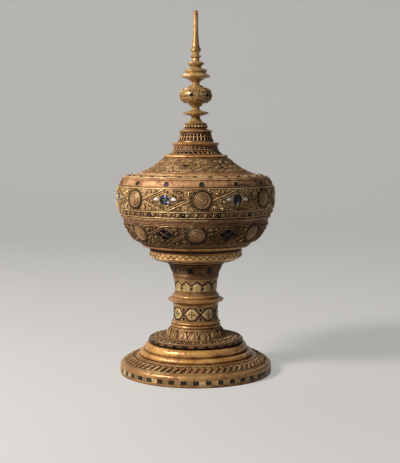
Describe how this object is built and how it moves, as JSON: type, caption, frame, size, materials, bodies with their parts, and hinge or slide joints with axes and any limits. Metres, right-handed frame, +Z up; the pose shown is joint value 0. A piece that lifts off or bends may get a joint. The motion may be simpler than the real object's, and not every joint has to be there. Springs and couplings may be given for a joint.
{
  "type": "offering vessel",
  "caption": "Tall gilded offering vessel: moulded foot, turned stem, round bowl with a lift-out tray, domed lid with bosses and glass inlay, tiered spire that lifts out.",
  "frame": {"origin": "centre of the foot, on the floor", "axes": "+Z up along the turning axis, -Y towards the front of the picture"},
  "size_m": [0.3154, 0.3166, 0.721],
  "materials": {
    "gilt_lacquer": "worn gold leaf over red lacquer with relief",
    "red_lacquer": "satin lacquer",
    "bare_wood": "turned, unlacquered",
    "pale_mirror": "thin silvered glass",
    "dark_glass": "foil-backed glass",
    "violet_glass": "foil-backed glass",
    "green_glass": "foil-backed glass",
    "iron": "forged"
  },
  "bodies": {
    "stand": {"foot_plinth": "gilt_lacquer", "foot_rim_tiles": "pale_mirror", "foot_rim_dark_tiles": "dark_glass", "foot_step": "gilt_lacquer", "foot_disc": "gilt_lacquer", "foot_disc_studs": "dark_glass", "lotus_flare": "gilt_lacquer", "stem_lower_ring": "gilt_lacquer", "stem_lower_drum": "gilt_lacquer", "stem_lower_flowers": "dark_glass", "stem_lower_dots": "dark_glass", "stem_knop": "gilt_lacquer", "stem_upper_drum": "gilt_lacquer", "stem_upper_dots": "dark_glass", "stem_neck": "gilt_lacquer", "stem_neck_panels": "dark_glass", "bowl_flange": "gilt_lacquer", "bowl_base": "gilt_lacquer", "bowl_wall": "gilt_lacquer", "bowl_rim": "gilt_lacquer", "bowl_collar": "red_lacquer", "bowl_bosses": "gilt_lacquer", "bowl_boss_frames": "gilt_lacquer", "bowl_diamonds": "dark_glass"},
    "tray": {"inner_tray": "red_lacquer"},
    "lid": {"lid_hoop": "gilt_lacquer", "lid_drum": "gilt_lacquer", "lid_border": "gilt_lacquer", "lid_shoulder": "gilt_lacquer", "lid_cone": "gilt_lacquer", "lid_crown": "gilt_lacquer", "lid_bosses": "gilt_lacquer", "lid_boss_frames": "gilt_lacquer", "lid_flower_petals": "violet_glass", "lid_flower_centres": "green_glass", "lid_flower_leaves": "pale_mirror", "lid_upper_gems": "green_glass", "lid_lower_gems": "dark_glass", "lid_shoulder_dashes": "dark_glass", "lid_cone_gems": "dark_glass"},
    "spire": {"spire_plug": "bare_wood", "spire_gallery": "gilt_lacquer", "spire_cornice": "gilt_lacquer", "spire_fluted_drum": "gilt_lacquer", "spire_cap": "gilt_lacquer", "spire_bead_collar": "gilt_lacquer", "spire_beads": "gilt_lacquer", "spire_neck": "gilt_lacquer", "spire_lower_disc": "gilt_lacquer", "spire_bulb": "gilt_lacquer", "spire_bulb_eyes": "dark_glass", "spire_ring_1": "gilt_lacquer", "spire_ring_2": "gilt_lacquer", "spire_ring_3": "gilt_lacquer", "spire_ring_4": "gilt_lacquer", "spire_finial": "gilt_lacquer", "spire_rod": "iron"}
  },
  "joints": [
    {"name": "lid_lift", "type": "slide", "parent": "stand", "child": "lid", "axis": [0, 0, 1], "range_m": [0, 0.25]},
    {"name": "spire_lift", "type": "slide", "parent": "lid", "child": "spire", "axis": [0, 0, 1], "range_m": [0, 0.08]},
    {"name": "tray_lift", "type": "slide", "parent": "stand", "child": "tray", "axis": [0, 0, 1], "range_m": [0, 0.034]}
  ]
}
